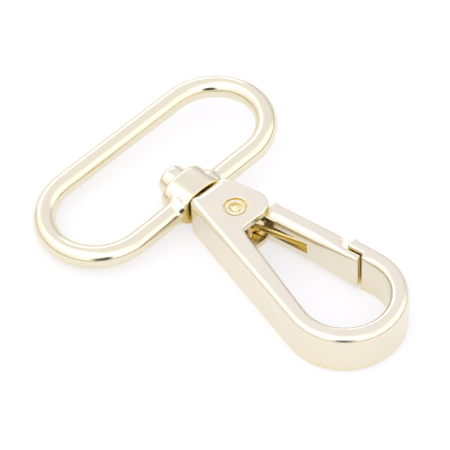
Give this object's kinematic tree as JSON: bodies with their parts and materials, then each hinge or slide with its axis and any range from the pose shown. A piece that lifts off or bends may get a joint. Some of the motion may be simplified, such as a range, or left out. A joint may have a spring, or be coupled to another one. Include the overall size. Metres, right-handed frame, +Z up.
{
  "type": "swivel snap hook",
  "caption": "Swivel snap hook for a wide strap: an oval wire loop turns on a riveted swivel above a flat hook with a sprung inward-opening gate.",
  "frame": {"origin": "bottom centre of the part as it lies flat with its gate closed", "axes": "+Y from the hook's bow to the strap loop, +Z up through the hook's thickness, +X towards the gate's side"},
  "size_m": [0.0454, 0.0612, 0.0075],
  "materials": {
    "loop_plating": "polished pale gold plating on cast zinc",
    "body_plating": "polished pale gold plating on cast zinc, slightly soft on the flat faces",
    "gate_plating": "polished pale gold plating on cast zinc",
    "rivet_plating": "polished pale gold plating on steel",
    "spring_steel": "plated spring wire with golden reflections"
  },
  "bodies": {
    "hook": {"hook_body": "body_plating", "swivel_rivet": "rivet_plating", "gate_pin": "rivet_plating", "gate_spring": "spring_steel"},
    "loop": {"strap_loop": "loop_plating"},
    "gate": {"gate": "gate_plating"}
  },
  "joints": [
    {"name": "loop_swivel", "type": "hinge", "parent": "hook", "child": "loop", "pos_m": [0, 0.012, 0.00375], "axis": [0, 1, 0], "continuous": true},
    {"name": "gate_hinge", "type": "hinge", "parent": "hook", "child": "gate", "pos_m": [0.0005, 0.0026, 0.00375], "axis": [0, 0, 1], "range_deg": [-30, 0], "stiffness_Nm_per_rad": 0.02, "springref_deg": 34.38, "deforming": ["gate_spring"]}
  ]
}
